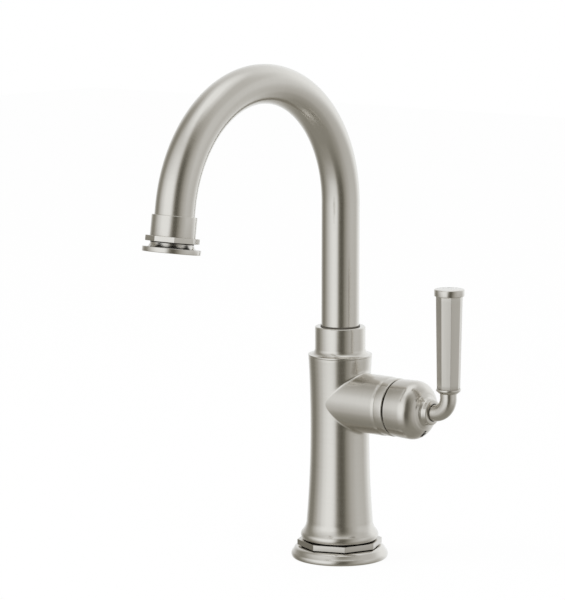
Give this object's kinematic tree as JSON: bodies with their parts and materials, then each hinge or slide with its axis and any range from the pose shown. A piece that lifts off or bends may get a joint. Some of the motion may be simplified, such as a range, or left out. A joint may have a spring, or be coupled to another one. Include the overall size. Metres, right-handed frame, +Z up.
{
  "type": "gooseneck bar faucet",
  "caption": "Deck-mounted gooseneck bar faucet with a turning high-arc spout, octagon rings, flared column and a side lever that tilts for flow and turns for temperature.",
  "frame": {"origin": "on the body's vertical axis, in the deck plane under the base flange", "axes": "+Z up, the spout reaches towards -Y (the user), the handle's axis points to +X"},
  "size_m": [0.132, 0.2213, 0.3361],
  "materials": {
    "nickel": "fine brushed nickel plate",
    "brass": "as machined",
    "steel": "as machined",
    "copper": "drawn copper tube",
    "rubber": "matt",
    "white_plastic": "moulded acetal",
    "dark_plastic": "moulded acetal",
    "red_plastic": "moulded",
    "ceramic": "lapped alumina"
  },
  "bodies": {
    "faucet_base": {"base_flange": "nickel", "base_gasket": "rubber", "base_octagon_ring": "nickel", "mounting_insert": "brass", "hot_supply_tube": "copper", "cold_supply_tube": "copper", "body_casting": "nickel", "spout_collar": "nickel", "thrust_washer": "white_plastic", "collar_washer": "white_plastic", "guide_bushing": "dark_plastic", "bonnet_ring": "nickel", "bonnet_nut": "brass", "cartridge_housing": "white_plastic", "cartridge_base": "white_plastic", "cartridge_seals": "rubber", "fixed_disc": "ceramic", "limit_ring": "red_plastic"},
    "spout": {"gooseneck_tube": "nickel", "spout_stem": "brass", "spout_o_rings": "rubber", "tip_sleeve": "nickel", "tip_octagon_ring": "nickel", "aerator_housing": "nickel", "aerator_gasket": "rubber", "aerator_screen": "steel", "aerator_insert": "white_plastic"},
    "rotor": {"cartridge_rotor": "steel", "tilt_pin": "steel"},
    "slider": {"moving_disc": "ceramic", "disc_carrier": "white_plastic"},
    "handle": {"cartridge_stem": "steel", "handle_hub": "nickel", "hub_set_screw": "steel", "handle_elbow": "nickel", "lever_bead": "nickel", "lever_grip": "nickel", "lever_cap": "nickel"}
  },
  "joints": [
    {"name": "spout_swivel", "type": "hinge", "parent": "faucet_base", "child": "spout", "pos_m": [0, 0, 0.137], "axis": [0, 0, 1], "continuous": true},
    {"name": "lever_turn", "type": "hinge", "parent": "faucet_base", "child": "rotor", "pos_m": [0, 0, 0.1072], "axis": [1, 0, 0], "range_deg": [-50, 50]},
    {"name": "lever_tilt", "type": "hinge", "parent": "rotor", "child": "handle", "pos_m": [0.035, 0, 0.1072], "axis": [0, 1, 0], "range_deg": [0, 20]},
    {"name": "disc_slide", "type": "slide", "parent": "rotor", "child": "slider", "axis": [0, 0, 1], "range_m": [0, 0.00385]}
  ],
  "couplings": [
    {"joint": "disc_slide", "follows": "lever_tilt", "m_per_rad": 0.011}
  ]
}
